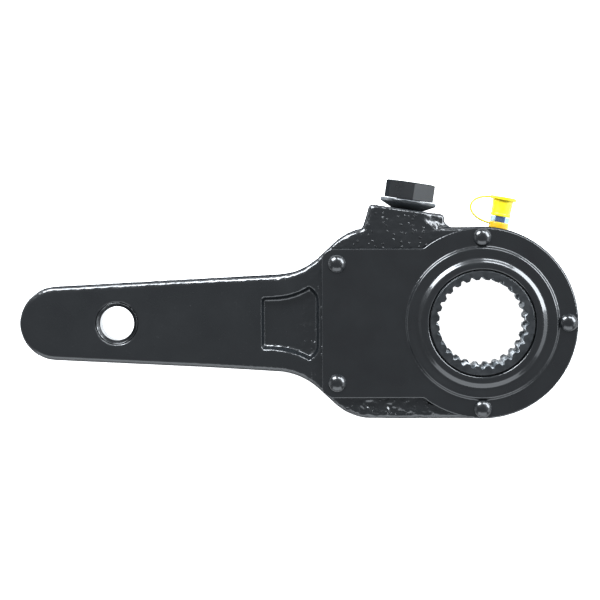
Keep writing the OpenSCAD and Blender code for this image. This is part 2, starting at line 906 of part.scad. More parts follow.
module nipple_spring() {
    room = ball_s - ball_r - valve_floor;
    pitch = (room - valve_wire) / valve_coils;
    coil_r = ball_bore_r - valve_wire / 2 - ball_play;
    wire_sides = 6;
    coil_steps = 12;
    color(bare_steel)
        on_nipple_axis()
            translate([0, 0, valve_floor + valve_wire / 2])
                helix(ring_points(coil_r, valve_wire / 2, wire_sides), pitch, 0, valve_coils, coil_steps);
}

module cap_ring() {
    color(yellow)
        on_nipple_axis()
            tube(cap_ring_r, nipple_r + journal_play, nipple_seat, cap_ring_top);
}

// The strap is a flat band along one cubic curve, drawn as [across, along] the nipple's axis.
strap_bulge = 11;
strap_low = cap_ring_top - strap_t;
strap_high = cap_top - cap_flange_t / 2;
strap_root = 0.5;
strap_lift = 0.6;
strap_drop = 1;
strap_ends = [[strap_root - cap_ring_r, strap_low], [strap_root - cap_flange_r, strap_high]];
strap_pulls = [[-cap_ring_r - strap_bulge, strap_low + strap_lift], [-cap_flange_r - strap_bulge, strap_high - strap_drop]];
function strap_point(t) =
    pow(1 - t, 3) * strap_ends[0] + 3 * t * pow(1 - t, 2) * strap_pulls[0]
    + 3 * t * t * (1 - t) * strap_pulls[1] + pow(t, 3) * strap_ends[1];
function strap_side(t) =
    let (d = strap_point(t + eps) - strap_point(t - eps))
    strap_t / 2 / norm(d) * [-d[1], d[0]];
strap_steps = 18;

module cap_strap() {
    cap_play = 0.05;
    outer = [for (k = [0:strap_steps]) let (t = k / strap_steps) strap_point(t) + strap_side(t)];
    inner = [for (k = [strap_steps:-1:0]) let (t = k / strap_steps) strap_point(t) - strap_side(t)];
    color(yellow)
        difference() {
            rotate([0, 0, -nipple_angle])
                linear_extrude(strap_w, center = true)
                    polygon(concat(outer, inner));
            on_nipple_axis() {
                cylinder(r = cap_ring_r, h = cap_ring_top + strap_root);
                translate([0, 0, cap_ring_top + over])
                    cylinder(r = cap_flange_r + cap_play, h = far);
            }
        }
}

module grease_cap() {
    inner_r = nipple_head_r + running_gap;
    roof = nipple_top + running_gap;
    color(yellow)
        on_nipple_axis()
            difference() {
                union() {
                    translate([0, 0, cap_bottom])
                        cylinder(r = cap_r, h = cap_h);
                    translate([0, 0, cap_top - cap_flange_t])
                        cylinder(r = cap_flange_r, h = cap_flange_t);
                }
                translate([0, 0, cap_bottom - over])
                    cylinder(r = inner_r, h = roof - cap_bottom + over);
            }
}

housing();
clevis_bush();
front_cover();
rear_cover();
cover_rivets();
front_gear_seal();
rear_gear_seal();
worm_gear();
worm();
worm_shaft();
hex_head();
upper_shaft_bush();
lower_shaft_bush();
upper_thrust_washer();
lower_thrust_washer();
shaft_seal();
spring_seat();
lock_spring();
lock_collar();
collar_sleeve();
welch_plug();
grease_nipple();
nipple_ball();
nipple_spring();
cap_ring();
cap_strap();
grease_cap();
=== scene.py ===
# %% [markdown]
# # A brake slack adjuster, dressed
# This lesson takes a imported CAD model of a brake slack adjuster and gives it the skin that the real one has:
# gloss black enamel on rough cast iron, on pressed covers and on rivets, with a bright clevis bush, a dark
# broached gear, a zinc-plated grease nipple and a yellow moulded cap. The CAD model is the frame: it says where
# every piece is, so no piece is placed by eye. Lengths are metres, because that is what the frame uses.

# %% Load the frame
import math

import bmesh
import bpy
import numpy as np
from mathutils import Matrix, Vector, noise


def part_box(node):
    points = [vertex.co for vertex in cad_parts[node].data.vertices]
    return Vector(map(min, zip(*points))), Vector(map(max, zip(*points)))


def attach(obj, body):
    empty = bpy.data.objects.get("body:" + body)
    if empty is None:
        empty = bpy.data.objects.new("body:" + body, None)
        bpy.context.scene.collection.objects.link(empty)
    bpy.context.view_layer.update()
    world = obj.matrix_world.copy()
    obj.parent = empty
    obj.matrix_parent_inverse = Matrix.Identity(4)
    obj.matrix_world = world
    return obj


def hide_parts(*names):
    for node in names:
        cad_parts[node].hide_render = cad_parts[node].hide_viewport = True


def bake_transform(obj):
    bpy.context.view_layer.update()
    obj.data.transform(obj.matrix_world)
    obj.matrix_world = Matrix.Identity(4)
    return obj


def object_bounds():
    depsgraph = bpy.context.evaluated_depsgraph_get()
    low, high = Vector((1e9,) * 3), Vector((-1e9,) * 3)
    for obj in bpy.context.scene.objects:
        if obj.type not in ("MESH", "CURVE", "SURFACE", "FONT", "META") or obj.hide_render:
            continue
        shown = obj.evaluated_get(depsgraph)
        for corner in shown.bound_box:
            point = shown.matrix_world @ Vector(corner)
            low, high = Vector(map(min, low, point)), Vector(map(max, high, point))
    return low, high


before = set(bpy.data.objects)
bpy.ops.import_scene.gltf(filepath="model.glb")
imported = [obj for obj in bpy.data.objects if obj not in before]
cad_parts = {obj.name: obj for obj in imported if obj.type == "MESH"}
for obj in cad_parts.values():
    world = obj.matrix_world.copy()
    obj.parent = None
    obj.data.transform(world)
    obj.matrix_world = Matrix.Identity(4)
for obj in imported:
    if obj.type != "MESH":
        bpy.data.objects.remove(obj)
cad_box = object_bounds()
MM = 0.001

# %% [markdown]
# ## The camera
# The photograph looks almost straight down on the part, which lies on its back. The inside of the splined bore
# shows a little more on its right and lower side, so the camera stands a little to the left of it and above it,
# about a metre away. It could be aimed by eye. Here a long lens, with its place and angles worked out from the
# rivets, the bore and the clevis hole, puts them where the photograph has them, with the same mild perspective.

# %% Camera
IMAGE_SIDE = 600
FOCAL_PIXELS = 2425.1
SENSOR = 36.0
CAMERA_PLACE = Vector((-38, 40, 1017)) * MM
CAMERA_TURN = (-0.03034, 0.03703, -0.00531)
camera_data = bpy.data.cameras.new("studio_camera")
camera_data.sensor_width = SENSOR
camera_data.lens = FOCAL_PIXELS * SENSOR / IMAGE_SIDE
camera = bpy.data.objects.new("studio_camera", camera_data)
camera.location = CAMERA_PLACE
camera.rotation_euler = CAMERA_TURN
bpy.context.collection.objects.link(camera)
bpy.context.scene.camera = camera
print("lens", round(camera_data.lens, 1), "mm")

# %% [markdown]
# ## Colours and nodes
# Colours are written as sRGB hex, the way they are read off a colour card, and one function turns them into the
# linear values that a shader works with. One other function adds a node: it sets the node's properties and then
# fills its inputs, with a plain value or with a link from another node's output. The Standard view transform
# shows a colour as it was chosen, where a film-like one would bend it.

# %% Colour and node helpers
bpy.context.scene.view_settings.view_transform = "Standard"


def linear(code):
    """An sRGB hex colour such as 1b1d1e as linear red, green, blue and alpha."""
    parts = [int(code[i:i + 2], 16) / 255 for i in (0, 2, 4)]
    return [c / 12.92 if c <= 0.04045 else ((c + 0.055) / 1.055) ** 2.4 for c in parts] + [1.0]


def add_node(tree, kind, inputs=None, **settings):
    """Adds a node, sets its properties, and gives each named input a value or a link."""
    made = tree.nodes.new(kind)
    for name, value in settings.items():
        setattr(made, name, value)
    for name, value in (inputs or {}).items():
        if isinstance(value, bpy.types.NodeSocket):
            tree.links.new(value, made.inputs[name])
        else:
            made.inputs[name].default_value = value
    return made


print("mid grey 808080 is", round(linear("808080")[0], 3), "in linear light")

# %% [markdown]
# ## What every finish shares
# A real finish is never one flat colour: it drifts between two close tones, and its pattern has a real size. So
# the materials below share four small helpers. One turns a size in millimetres into a texture's scale, one lets a
# colour drift between two tones, one starts a material with its fixed values, and one links the rest to its shader.
# Object coordinates are used because each piece's place is in its mesh, so they are metres in the shared frame.

# %% Finish helpers
def per_metre(size_mm):
    """The scale that makes a texture's features about this many millimetres across."""
    return 1 / (size_mm * MM)


def drifting_tone(tree, pattern, low, high, tones):
    """A colour that goes from one hex tone to the other while a pattern's value goes from low to high."""
    share = add_node(tree, "ShaderNodeMapRange", {"Value": pattern, "From Min": low, "From Max": high})
    drift = add_node(tree, "ShaderNodeMix", {"Factor": share.outputs["Result"], "A": linear(tones[0]),
                                             "B": linear(tones[1])}, data_type="RGBA")
    return drift.outputs["Result"]


def new_material(name, **sockets):
    """A material with its shader's fixed sockets set, and object coordinates in metres."""
    made = bpy.data.materials.new(name)
    made.use_nodes = True
    tree = made.node_tree
    shader = tree.nodes["Principled BSDF"]
    for socket, value in sockets.items():
        shader.inputs[socket.replace("_", " ")].default_value = value
    place = add_node(tree, "ShaderNodeTexCoord").outputs["Object"]
    return made, tree, shader, place


def wire(tree, shader, **outputs):
    """Links each output to the shader's socket of that name."""
    for socket, output in outputs.items():
        tree.links.new(output, shader.inputs[socket.replace("_", " ")])


print("a 3 mm pattern has the scale", round(per_metre(3)), "a metre")

# %% [markdown]
# ## The floor
# The photograph is a cut-out on white. The white could be a plain background, but then nothing would hold the part.
# A white floor that glows a little, like a light table, gives the same white around the part and through both
# holes, and the part still stands on something. It lies a hair below the lowest point, so the two never mix.

# %% Floor
FLOOR_HALF = 3.0
FLOOR_GAP = 0.05 * MM
PAPER_FIBRE_MM = 3
floor_z = cad_box[0][2] - FLOOR_GAP
corners = [(-FLOOR_HALF, -FLOOR_HALF), (FLOOR_HALF, -FLOOR_HALF), (FLOOR_HALF, FLOOR_HALF), (-FLOOR_HALF, FLOOR_HALF)]
floor_mesh = bpy.data.meshes.new("paper_floor")
floor_mesh.from_pydata([(x, y, floor_z) for x, y in corners], [], [(0, 1, 2, 3)])
floor = bpy.data.objects.new("paper_floor", floor_mesh)
bpy.context.collection.objects.link(floor)
# Uncoated white paper: matt all over, with fibres that make its white a little uneven.
paper, tree, shader, place = new_material(
    "white_paper_floor", Roughness=0.9, Emission_Strength=1.02, Emission_Color=linear("ffffff"))
fibre = add_node(tree, "ShaderNodeTexNoise", {"Vector": place, "Scale": per_metre(PAPER_FIBRE_MM), "Detail": 3})
wire(tree, shader, Base_Color=drifting_tone(tree, fibre.outputs["Fac"], 0.2, 0.8, ("f2f2f2", "fbfbfb")))
floor_mesh.materials.append(paper)
print("floor at", round(floor_z / MM, 2), "mm")

# %% [markdown]
# ## The soft boxes
# Black gloss paint shows hardly any colour of its own: what the eye reads are the reflections. One big lamp above
# would turn every flat face grey. So the room is a dim grey, which gives the flat faces their charcoal tone, and
# soft boxes stand low around the part, where only the rounded edges, the rivets and the lip can mirror them. The two
# far strips give each rivet its pair of bright spots, and the weak fills open up the shaded sides.

# %% Lights
ROOM_LIGHT = 0.4
TARGET = Vector((-60, 0, 0)) * MM
COOL_WHITE = linear("f1f8ff")[:3]
# Each soft box: name, direction to it in degrees (azimuth, height), distance, width, depth, radiance.
SOFT_BOXES = (
    ("far_left_strip", 117, 31, 0.9, 0.34, 0.2, 17.0),
    ("far_right_strip", 70, 31, 0.9, 0.34, 0.2, 17.0),
    ("left_panel", 122, 28, 0.35, 0.18, 0.15, 18.0),
    ("right_panel", 31, 24, 0.9, 0.7, 0.36, 14.0),
    ("near_fill", 268, 28, 0.9, 1.4, 0.66, 2.0),
    ("right_fill", -8, 20, 0.9, 0.7, 0.4, 1.6),
    ("left_fill", 182, 14, 0.9, 0.5, 0.2, 1.2),
)
world = bpy.data.worlds.new("grey_room")
world.use_nodes = True
room = world.node_tree.nodes["Background"]
room.inputs["Color"].default_value = linear("dfe8f2")
room.inputs["Strength"].default_value = ROOM_LIGHT
bpy.context.scene.world = world
for name, azimuth, height, distance, width, depth, radiance in SOFT_BOXES:
    lamp = bpy.data.lights.new(name, "AREA")
    lamp.shape = "RECTANGLE"
    lamp.size = width
    lamp.size_y = depth
    lamp.energy = radiance * math.pi * width * depth
    lamp.color = COOL_WHITE
    a, h = math.radians(azimuth), math.radians(height)
    towards = Vector((math.cos(a) * math.cos(h), math.sin(a) * math.cos(h), math.sin(h)))
    box = bpy.data.objects.new(name, lamp)
    box.location = TARGET + towards * distance
    box.rotation_euler = towards.to_track_quat("Z", "Y").to_euler()
    bpy.context.collection.objects.link(box)
print("soft boxes:", len(SOFT_BOXES))

# %% [markdown]
# ## The casting's skin under the paint
# Iron that was cast in sand has low lumps, and here and there a grain of sand left a small nub. Geometry for each
# nub would take millions of points, so they are a height pattern for the paint's bump: soft noise for the lumps, and
# a cell pattern for the nubs, in which only some cells get one. The arm was dressed smoother than the block, so the
# pattern fades out along it.

# %% Casting skin pattern
# Moulding sand has grains of about 0.3 mm. With its hump of paint a nub is wider, and it is drawn in cells of
# 1.5 mm so that it shows in a 0.4 mm pixel.
LUMP_MM, GRAIN_MM = 3.2, 1.5
LUMP_SHARE = 0.36
NUB_FOOT, NUB_TOP = 0.38, 0.08
NUB_RARE, NUB_SURE = 0.68, 0.73
SMOOTH_ARM_X, ROUGH_BLOCK_X = -76 * MM, -48 * MM
ARM_SKIN = 0.1


def casting_skin(tree, place):
    """A height pattern of lumps and sand nubs, from 0 to about 1.4."""
    lumps = add_node(tree, "ShaderNodeTexNoise", {"Vector": place, "Scale": per_metre(LUMP_MM), "Detail": 4,
                                                  "Roughness": 0.62})
    grains = add_node(tree, "ShaderNodeTexVoronoi", {"Vector": place, "Scale": per_metre(GRAIN_MM)})
    hump = add_node(tree, "ShaderNodeMapRange", {"Value": grains.outputs["Distance"], "From Min": NUB_FOOT,
                                                 "From Max": NUB_TOP})
    draw = add_node(tree, "ShaderNodeSeparateColor", {"Color": grains.outputs["Color"]})
    rare = add_node(tree, "ShaderNodeMapRange", {"Value": draw.outputs["Red"], "From Min": NUB_RARE,
                                                 "From Max": NUB_SURE})
    nub = add_node(tree, "ShaderNodeMath", {0: hump.outputs["Result"], 1: rare.outputs["Result"]}, operation="MULTIPLY")
    skin = add_node(tree, "ShaderNodeMath", {0: lumps.outputs["Fac"], 1: LUMP_SHARE, 2: nub.outputs["Value"]},
                    operation="MULTIPLY_ADD")
    along = add_node(tree, "ShaderNodeSeparateXYZ", {"Vector": place})
    rough = add_node(tree, "ShaderNodeMapRange", {"Value": along.outputs["X"], "From Min": SMOOTH_ARM_X,
                                                  "From Max": ROUGH_BLOCK_X, "To Min": ARM_SKIN})
    here = add_node(tree, "ShaderNodeMath", {0: skin.outputs["Value"], 1: rough.outputs["Result"]}, operation="MULTIPLY")
    return here.outputs["Value"]


print("lumps of", LUMP_MM, "mm and sand grains of", GRAIN_MM, "mm")

# %% [markdown]
# ## Gloss black enamel
# The whole body was sprayed in gloss black enamel. Wet paint pulls into a fine orange peel, and over a raw casting it
# follows every lump and nub. The gun was held over the front and the back, so on the side walls the paint landed
# dry, without gloss. Painting the two by hand would need a mask image. The direction of the face says the same: where
# it looks along the bore's axis the coat is wet, and where it looks sideways it is dusty and dull.

# %% Enamel material
PEEL_MM, HAZE_MM = 1.4, 14
DRY_BELOW, WET_ABOVE = 0.5, 0.85
WET_SPECULAR = 0.5
DRY_BLACK = "1e2022"


def faces_bore(tree):
    """How far a face looks along the bore's axis: 1 on the flat front and back, 0 on the side walls."""
    facing = add_node(tree, "ShaderNodeSeparateXYZ", {"Vector": add_node(tree, "ShaderNodeTexCoord").outputs["Normal"]})
    return add_node(tree, "ShaderNodeMath", {0: facing.outputs["Z"]}, operation="ABSOLUTE").outputs["Value"]


def black_enamel(name, tones, peel_mm, skin_mm, dry_paint_and_sheen=DRY_BLACK):
    """Gloss black enamel. The two depths are the orange peel's and the casting skin's. The last colour goes on faces
    that
    look sideways: dry paint on the body and covers, and a grey of painted reflection on the collar's cone.
    """
    made, tree, shader, place = new_material(name, IOR=1.5, Coat_Roughness=0.1)
    # Orange peel is really about 1 mm across. It is drawn at 1.4 mm so that it shows in a 0.4 mm pixel.
    peel = add_node(tree, "ShaderNodeTexNoise", {"Vector": place, "Scale": per_metre(PEEL_MM), "Detail": 2})
    haze = add_node(tree, "ShaderNodeTexNoise", {"Vector": place, "Scale": per_metre(HAZE_MM), "Detail": 5})
    gloss = add_node(tree, "ShaderNodeMapRange", {"Value": haze.outputs["Fac"], "From Min": 0.3, "From Max": 0.7,
                                                  "To Min": 0.25, "To Max": 0.32})
    casting = add_node(tree, "ShaderNodeBump", {"Height": casting_skin(tree, place), "Distance": skin_mm * MM})
    wave = add_node(tree, "ShaderNodeBump", {"Height": peel.outputs["Fac"], "Distance": peel_mm * MM,
                                             "Normal": casting.outputs["Normal"]})
    wet = add_node(tree, "ShaderNodeMapRange", {"Value": faces_bore(tree), "From Min": DRY_BELOW,
                                                "From Max": WET_ABOVE}).outputs["Result"]
    colour = add_node(tree, "ShaderNodeMix", {
        "Factor": wet, "A": linear(dry_paint_and_sheen), "B": drifting_tone(tree, haze.outputs["Fac"], 0.3, 0.72, tones)},
        data_type="RGBA")
    shine = add_node(tree, "ShaderNodeMath", {0: wet, 1: WET_SPECULAR}, operation="MULTIPLY")
    wire(tree, shader, Base_Color=colour.outputs["Result"], Roughness=gloss.outputs["Result"], Coat_Weight=wet,
         Specular_IOR_Level=shine.outputs["Value"], Normal=wave.outputs["Normal"])
    return made


# On cast iron: a deep charcoal with a wavy reflection, and bright specks where a nub turns towards a lamp.
enamel_cast = black_enamel("gloss_black_enamel_on_cast_iron", ("0b0c0d", "0f1011"), peel_mm=0.015, skin_mm=0.55)
# On pressed steel: the same charcoal, but quiet, with long clear reflections along the pressed ring.
enamel_sheet = black_enamel("gloss_black_enamel_on_pressed_steel", ("0a0a0b", "0e0f10"), peel_mm=0.012, skin_mm=0.006)
print("made", enamel_cast.name, "and", enamel_sheet.name)

# %% [markdown]
# ## Bare metals
# The metal pieces differ by how they were made: turned, hobbed, drawn to wire, plated, or pressed from powder. Each
# could have its own node tree, but they share one: a metal keeps the shader's default IOR, and its colour, its
# roughness and the size and direction of its tool marks make the difference.

# %% Metal materials
STAIN_MM = 6


def machined_metal(name, tones, roughness, mark_mm, depth_mm, stretch=(1, 1, 1)):
    """A bare metal with tool marks; a stretch below 1 draws them out along that axis, above 1 packs them."""
    made, tree, shader, place = new_material(name, Metallic=1.0)
    drawn = add_node(tree, "ShaderNodeMapping", {"Vector": place, "Scale": stretch})
    marks = add_node(tree, "ShaderNodeTexNoise", {"Vector": drawn.outputs["Vector"], "Scale": per_metre(mark_mm),
                                                  "Detail": 4})
    stain = add_node(tree, "ShaderNodeTexNoise", {"Vector": place, "Scale": per_metre(STAIN_MM), "Detail": 4})
    gloss = add_node(tree, "ShaderNodeMapRange", {"Value": marks.outputs["Fac"], "From Min": 0.25, "From Max": 0.75,
                                                  "To Min": roughness[0], "To Max": roughness[1]})
    bump = add_node(tree, "ShaderNodeBump", {"Height": marks.outputs["Fac"], "Distance": depth_mm * MM})
    wire(tree, shader, Base_Color=drifting_tone(tree, stain.outputs["Fac"], 0.3, 0.7, tones),
         Roughness=gloss.outputs["Result"], Normal=bump.outputs["Normal"])
    return made


# Real tool marks and pores are 0.05 to 0.2 mm wide. They are drawn at 0.35 to 0.6 mm so that they show.
# Each metal: name, tones, roughness from and to, size and depth of its marks in millimetres, and their stretch.
# Turned steel: bright, with fine marks that spread each highlight.
turned_steel = machined_metal("turned_bright_steel", ("a9adb0", "d0d3d6"), (0.2, 0.38), 0.5, 0.01, (1, 1, 4))
# Hobbed steel under oil: dark grey, with streaks along the cutter's path.
gear_steel = machined_metal("oiled_hobbed_steel", ("2c2f31", "44484b"), (0.3, 0.45), 0.6, 0.01, (1, 1, 0.15))
# Spring wire tempered in oil: an even mid grey with a soft sheen.
spring_steel = machined_metal("oil_tempered_spring_steel", ("6a6d70", "8c8f92"), (0.3, 0.4), 0.4, 0.006)
# Zinc plate with a blue passivation: silver with a clear blue cast.
zinc_plate = machined_metal("blue_passivated_zinc_plate", ("6888c0", "98b2de"), (0.2, 0.34), 0.6, 0.006)
# Bronze pressed and sintered from powder: dull gold, roughened by its pores.
sintered_bronze = machined_metal("sintered_bronze", ("7d5a28", "b18a4a"), (0.4, 0.6), 0.35, 0.012)
print("metals made: 5")

# %% [markdown]
# ## The wall of a hole
# Two pieces carry two finishes each, and in both cases one of them ends at the wall of a hole. Splitting the mesh in
# two would leave a seam. A mask does it in one material: it is 1 where a face lies within a certain distance of the
# hole's axis and also looks sideways, as only the wall of a hole does.

# %% Hole wall mask
EDGE_BLUR_MM = 0.06
WALL_BELOW, WALL_SURE = 0.5, 0.3


def hole_wall(tree, place, middle_mm, edge_mm):
    """A mask that is 1 on the wall of a hole along Z and 0 on all other faces."""
    flat = add_node(tree, "ShaderNodeVectorMath", {0: place, 1: (1, 1, 0)}, operation="MULTIPLY")
    middle = (middle_mm[0] * MM, middle_mm[1] * MM, 0)
    reach = add_node(tree, "ShaderNodeVectorMath", {0: flat.outputs["Vector"], 1: middle}, operation="DISTANCE")
    near = add_node(tree, "ShaderNodeMapRange", {"Value": reach.outputs["Value"],
                                                 "From Min": (edge_mm + EDGE_BLUR_MM) * MM,
                                                 "From Max": (edge_mm - EDGE_BLUR_MM) * MM})
    wall = add_node(tree, "ShaderNodeMapRange", {"Value": faces_bore(tree), "From Min": WALL_BELOW,
                                                 "From Max": WALL_SURE})
    both = add_node(tree, "ShaderNodeMath", {0: near.outputs["Result"], 1: wall.outputs["Result"]}, operation="MULTIPLY")
    return both.outputs["Value"]


print("the mask's edge is", 2 * EDGE_BLUR_MM, "mm wide")

# %% [markdown]
# ## Two finishes on one piece
# The clevis bush is bright only in its hole: its countersink took paint with the arm. The gear's end faces are dull
# and dark, but the spline inside it was broached, so its walls are bright, with dark streaks of oil along the broach's
# path. Two materials on sorted faces could do that too, but the CAD meshes stay as they are, so one material holds
# both finishes and the mask divides them.

# %% Divided finishes
# A broach leaves scratches of about 0.1 mm. The streaks of oil between them are wider and are what shows.
STREAK_MM, DULL_MM = 0.9, 5
STREAK_DEPTH_MM = 0.008
COUNTERSINK_EDGE_MM, SPLINE_EDGE_MM = 7.2, 19.2


def divided_finish(name, hole, stretch, outside_tones, wall_tones, roughness, fixed, divided):
    """One finish on a hole's wall and another outside it; divided gives (outside, wall) for each socket."""
    made, tree, shader, place = new_material(name, **fixed)
    inner = hole_wall(tree, place, *hole)
    drawn = add_node(tree, "ShaderNodeMapping", {"Vector": place, "Scale": stretch})
    marks = add_node(tree, "ShaderNodeTexNoise", {"Vector": drawn.outputs["Vector"], "Scale": per_metre(STREAK_MM),
                                                  "Detail": 3})
    haze = add_node(tree, "ShaderNodeTexNoise", {"Vector": place, "Scale": per_metre(DULL_MM), "Detail": 4})
    colour = add_node(tree, "ShaderNodeMix", {
        "Factor": inner, "A": drifting_tone(tree, haze.outputs["Fac"], 0.3, 0.7, outside_tones),
        "B": drifting_tone(tree, marks.outputs["Fac"], 0.45, 0.62, wall_tones)}, data_type="RGBA")
    gloss = add_node(tree, "ShaderNodeMapRange", {"Value": marks.outputs["Fac"], "From Min": 0.3, "From Max": 0.7,
                                                  "To Min": roughness[0], "To Max": roughness[1]})
    bump = add_node(tree, "ShaderNodeBump", {"Height": marks.outputs["Fac"], "Distance": STREAK_DEPTH_MM * MM})
    wire(tree, shader, Base_Color=colour.outputs["Result"], Roughness=gloss.outputs["Result"],
         Normal=bump.outputs["Normal"])
    for socket, (outside, wall) in divided.items():
        share = add_node(tree, "ShaderNodeMapRange", {"Value": inner, "To Min": outside, "To Max": wall})
        wire(tree, shader, **{socket: share.outputs["Result"]})
    return made


bush_low, bush_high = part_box("clevis_bush")
bush_middle = (bush_low + bush_high) / 2 / MM
# A turned bush with a painted countersink: a grey metal glint in the hole, and black gloss round it.
painted_bush = divided_finish(
    "turned_steel_with_painted_countersink", ((bush_middle.x, bush_middle.y), COUNTERSINK_EDGE_MM), (1, 1, 6),
    ("0b0c0d", "0f1011"), ("3c4043", "74797d"), (0.2, 0.3),
    {"Specular_IOR_Level": 0.5}, {"Coat_Weight": (1, 0), "Metallic": (0, 1)})
# A broached and oiled gear: a dull grey face, and spline walls that are streaked light and dark. The walls are steel
# too, but as a metal they would mirror only the white floor. Their scratches scatter the light, so they are set matt.
broached_hub = divided_finish(
    "broached_and_oiled_steel", ((0, 0), SPLINE_EDGE_MM), (0.45, 0.45, 0.04),
    ("545657", "676869"), ("5c6063", "dadddf"), (0.26, 0.4),
    {"Coat_Weight": 0.0}, {"Metallic": (1, 0), "Specular_IOR_Level": (0.5, 0)})
print("made", painted_bush.name, "and", broached_hub.name)

# %% [markdown]
# ## Nitrile rubber
# The seals are moulded nitrile rubber, filled with soot. A plain black would look like a hole, so the colour stays
# above black and a fine grain breaks up the little gloss that there is.

# %% Rubber material
# The mould's grain is about 0.1 mm. It is drawn at 0.6 mm so that it shows.
RUBBER_GRAIN_MM, RUBBER_DEPTH_MM = 0.6, 0.02
# Moulded nitrile: near black and matt, with a grain that is felt more than seen.
nitrile, tree, shader, place = new_material("moulded_nitrile_rubber", IOR=1.52)
grain = add_node(tree, "ShaderNodeTexNoise", {"Vector": place, "Scale": per_metre(RUBBER_GRAIN_MM), "Detail": 5})
matt = add_node(tree, "ShaderNodeMapRange", {"Value": grain.outputs["Fac"], "To Min": 0.55, "To Max": 0.75})
dimple = add_node(tree, "ShaderNodeBump", {"Height": grain.outputs["Fac"], "Distance": RUBBER_DEPTH_MM * MM})
wire(tree, shader, Base_Color=drifting_tone(tree, grain.outputs["Fac"], 0.2, 0.8, ("101011", "222324")),
     Roughness=matt.outputs["Result"], Normal=dimple.outputs["Normal"])
print("made", nitrile.name)

# %% [markdown]
# ## Yellow polyethylene
# The dust cap is moulded low-density polyethylene, a waxy plastic that light enters and leaves again, which is why
# its shaded side still looks yellow. A lighter colour could fake that from one side only. Subsurface scattering
# gives it from every side, and a faint mould texture keeps the gloss soft.

# %% Plastic material
# The mould's texture is about 0.1 mm. It is drawn at 0.5 mm so that it shows.
CLOUD_MM, MOULD_MM, MOULD_DEPTH_MM = 2.5, 0.5, 0.012
GLOW_MM = 1.2


def yellow_polyethylene(name, tones):
    """Moulded polyethylene: waxy, a little see-through, with a soft mould texture."""
    made, tree, shader, place = new_material(
        name, IOR=1.51, Subsurface_Weight=0.35, Subsurface_Scale=GLOW_MM * MM, Subsurface_Radius=(1.0, 0.8, 0.2))
    cloud = add_node(tree, "ShaderNodeTexNoise", {"Vector": place, "Scale": per_metre(CLOUD_MM), "Detail": 3})
    satin = add_node(tree, "ShaderNodeMapRange", {"Value": cloud.outputs["Fac"], "To Min": 0.28, "To Max": 0.44})
    mould = add_node(tree, "ShaderNodeTexNoise", {"Vector": place, "Scale": per_metre(MOULD_MM), "Detail": 3})
    bump = add_node(tree, "ShaderNodeBump", {"Height": mould.outputs["Fac"], "Distance": MOULD_DEPTH_MM * MM})
    wire(tree, shader, Base_Color=drifting_tone(tree, cloud.outputs["Fac"], 0.3, 0.7, tones),
         Roughness=satin.outputs["Result"], Normal=bump.outputs["Normal"])
    return made


# The cap: a full, clean yellow with a satin gloss.
cap_yellow = yellow_polyethylene("moulded_yellow_polyethylene", ("f5d800", "ffec2a"))
print("made", cap_yellow.name)

# %% [markdown]
# ## The cast body
# The real body is cast iron: no edge on it is sharp, and the fillets run softly into each other. A bevel modifier
# would have to solve each corner of the CAD solid. A voxel remesh is simpler here: it rebuilds the closed solid from
# small cubes, and a few smoothing passes round every edge by about a millimetre.

# %% Cast body
WELD_GAP = 0.001 * MM
CAST_VOXEL_MM, CAST_PASSES = 0.55, 3


def rebuilt(node, name, voxel_mm, passes):
    """A copy of a node's solid, rebuilt from voxels and smoothed."""
    copy = bpy.data.objects.new(name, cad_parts[node].data.copy())
    bpy.context.collection.objects.link(copy)
    copy.modifiers.new("weld", "WELD").merge_threshold = WELD_GAP
    remesh = copy.modifiers.new("voxels", "REMESH")
    remesh.mode = "VOXEL"
    remesh.voxel_size = voxel_mm * MM
    smooth = copy.modifiers.new("soften", "SMOOTH")
    smooth.factor = 0.5
    smooth.iterations = passes
    shape = bpy.data.meshes.new_from_object(copy.evaluated_get(bpy.context.evaluated_depsgraph_get()))
    copy.modifiers.clear()
    copy.data = shape
    shape.shade_smooth()
    return copy


cast_body = rebuilt("housing", "cast_body", CAST_VOXEL_MM, CAST_PASSES)
print("cast body points:", len(cast_body.data.vertices))

# %% [markdown]
# ## Where the casting is rough
# The block came rough out of its sand mould, the arm was dressed nearly smooth apart from its upper edge, and the
# head's rim and the lower edge were trimmed. The bores were machined, so nothing there may move: other pieces run in
# them. A weight for each point says all that, from its place and from the way that it faces.

# %% Roughness of each point
WORM_TILT = math.radians(8.5)
WORM_AXIS = Vector((math.sin(WORM_TILT), math.cos(WORM_TILT), 0))
BORE_CLEAR, CHAMBER_CLEAR = 14 * MM, 34 * MM
ARM_ROOT, RIM_START = -75 * MM, -16 * MM
BLOCK_LUMPS, ARM_LUMPS, UPPER_EDGE_LUMPS, TRIMMED_LUMPS = 1.0, 0.1, 0.65, 0.2
LOOKS_UP, SIDE_WALL = 0.25, 0.5
seat_low, seat_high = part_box("spring_seat")
seat_middle = (seat_low + seat_high) / 2
shape = cast_body.data
count = len(shape.vertices)
points = np.empty(count * 3)
normals = np.empty(count * 3)
shape.vertices.foreach_get("co", points)
shape.vertex_normals.foreach_get("vector", normals)
points = points.reshape(-1, 3)
normals = normals.reshape(-1, 3)
x, y, z = points.T
beside_worm = np.abs((x - seat_middle.x) * WORM_AXIS.y - (y - seat_middle.y) * WORM_AXIS.x)
outside = (np.hypot(beside_worm, z) > BORE_CLEAR) & (np.hypot(x, y) > CHAMBER_CLEAR)
lumpy = np.where(x > ARM_ROOT, BLOCK_LUMPS, ARM_LUMPS) * outside
lumpy[(x < ARM_ROOT) & (normals[:, 1] > LOOKS_UP)] = UPPER_EDGE_LUMPS
trimmed = (x > RIM_START) | ((y < 0) & (np.abs(normals[:, 2]) < SIDE_WALL))
lumpy[trimmed] = np.minimum(lumpy[trimmed], TRIMMED_LUMPS)
print("points outside the bores:", int(outside.sum()), "of", count)

